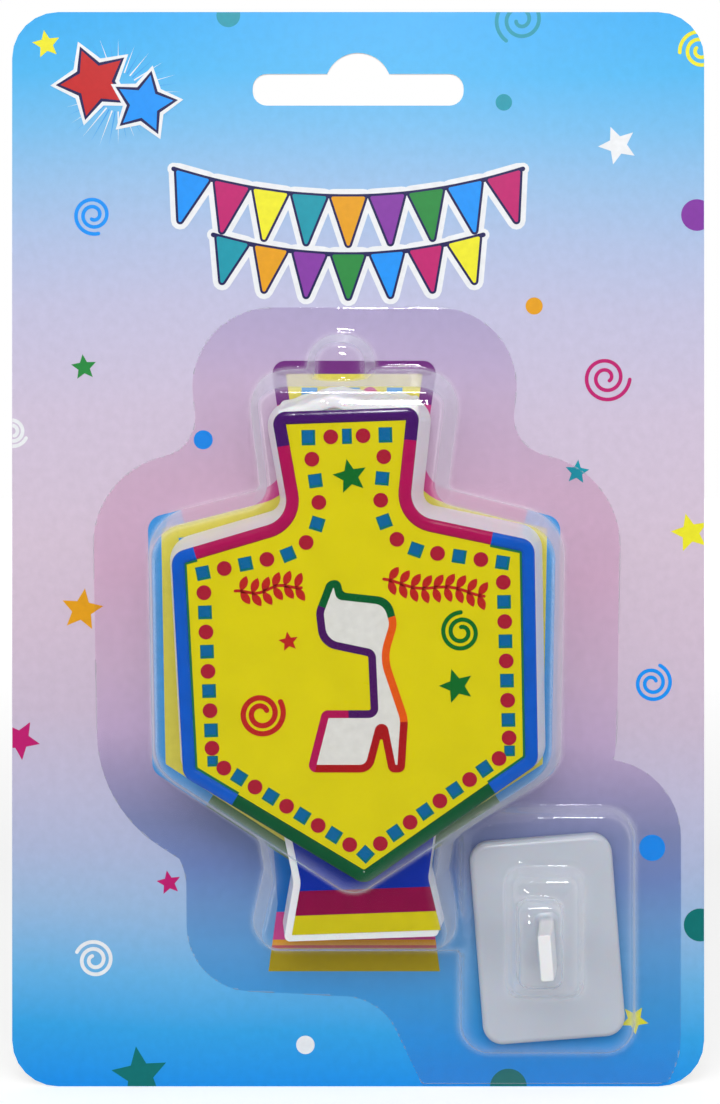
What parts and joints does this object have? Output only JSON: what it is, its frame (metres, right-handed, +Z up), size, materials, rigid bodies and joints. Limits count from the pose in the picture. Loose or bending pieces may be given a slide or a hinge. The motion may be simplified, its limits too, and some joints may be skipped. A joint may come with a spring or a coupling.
{
  "type": "dreidel candle pack",
  "caption": "Dreidel-shaped wax candle with a painted rim and printed face, and its plastic stand, held in a clear formed blister on a hanging card with a euro slot.",
  "frame": {"origin": "top of the hang slot's arch on the card's front face, where a display hook carries the pack", "axes": "+X to the viewer's right, +Z up the hanging card, +Y out of the card's back; the front faces -Y"},
  "size_m": [0.105, 0.0157, 0.163],
  "materials": {
    "printed_board": "smooth printed board",
    "clear_sheet": "clear glossy formed sheet",
    "white_wax": "soft satin wax",
    "wick_cotton": "waxed cotton",
    "yellow_film": "satin print",
    "purple_paint": "glossy paint",
    "magenta_paint": "glossy paint",
    "blue_paint": "glossy paint",
    "green_paint": "glossy paint",
    "white_ink": "satin print",
    "green_ink": "satin print",
    "orange_ink": "satin print",
    "red_ink": "satin print",
    "magenta_ink": "satin print",
    "purple_ink": "satin print",
    "yellow_band_paint": "glossy paint",
    "magenta_band_paint": "glossy paint",
    "blue_band_paint": "glossy paint",
    "white_plastic": "translucent satin moulding"
  },
  "bodies": {
    "pack": {"backing_card": "printed_board", "blister_candle_pocket": "clear_sheet", "blister_stand_pocket": "clear_sheet"},
    "candle": {"wax_body": "white_wax", "wick": "wick_cotton", "face_film": "yellow_film", "rim_top_purple": "purple_paint", "rim_left_magenta": "magenta_paint", "rim_right_magenta": "magenta_paint", "rim_left_blue": "blue_paint", "rim_right_blue": "blue_paint", "rim_point_green": "green_paint", "letter_white": "white_ink", "letter_outline_green": "green_ink", "letter_outline_orange": "orange_ink", "letter_outline_red": "red_ink", "letter_outline_magenta": "magenta_ink", "letter_outline_purple": "purple_ink", "star_neck_green": "green_ink", "star_left_red": "red_ink", "star_right_green": "green_ink", "spiral_left_red": "red_ink", "spiral_right_green": "green_ink", "foot_band_yellow": "yellow_band_paint", "foot_band_magenta": "magenta_band_paint", "foot_band_blue": "blue_band_paint"},
    "stand": {"stand": "white_plastic"}
  },
  "joints": [
    {"name": "candle_turn", "type": "hinge", "parent": "pack", "child": "candle", "pos_m": [0.00051, -0.006, -0.0985], "axis": [0, 1, 0], "range_deg": [0, 4]},
    {"name": "stand_turn", "type": "hinge", "parent": "pack", "child": "stand", "pos_m": [0.0286, -0.0015, -0.138], "axis": [0, 1, 0], "range_deg": [0, 6]}
  ]
}
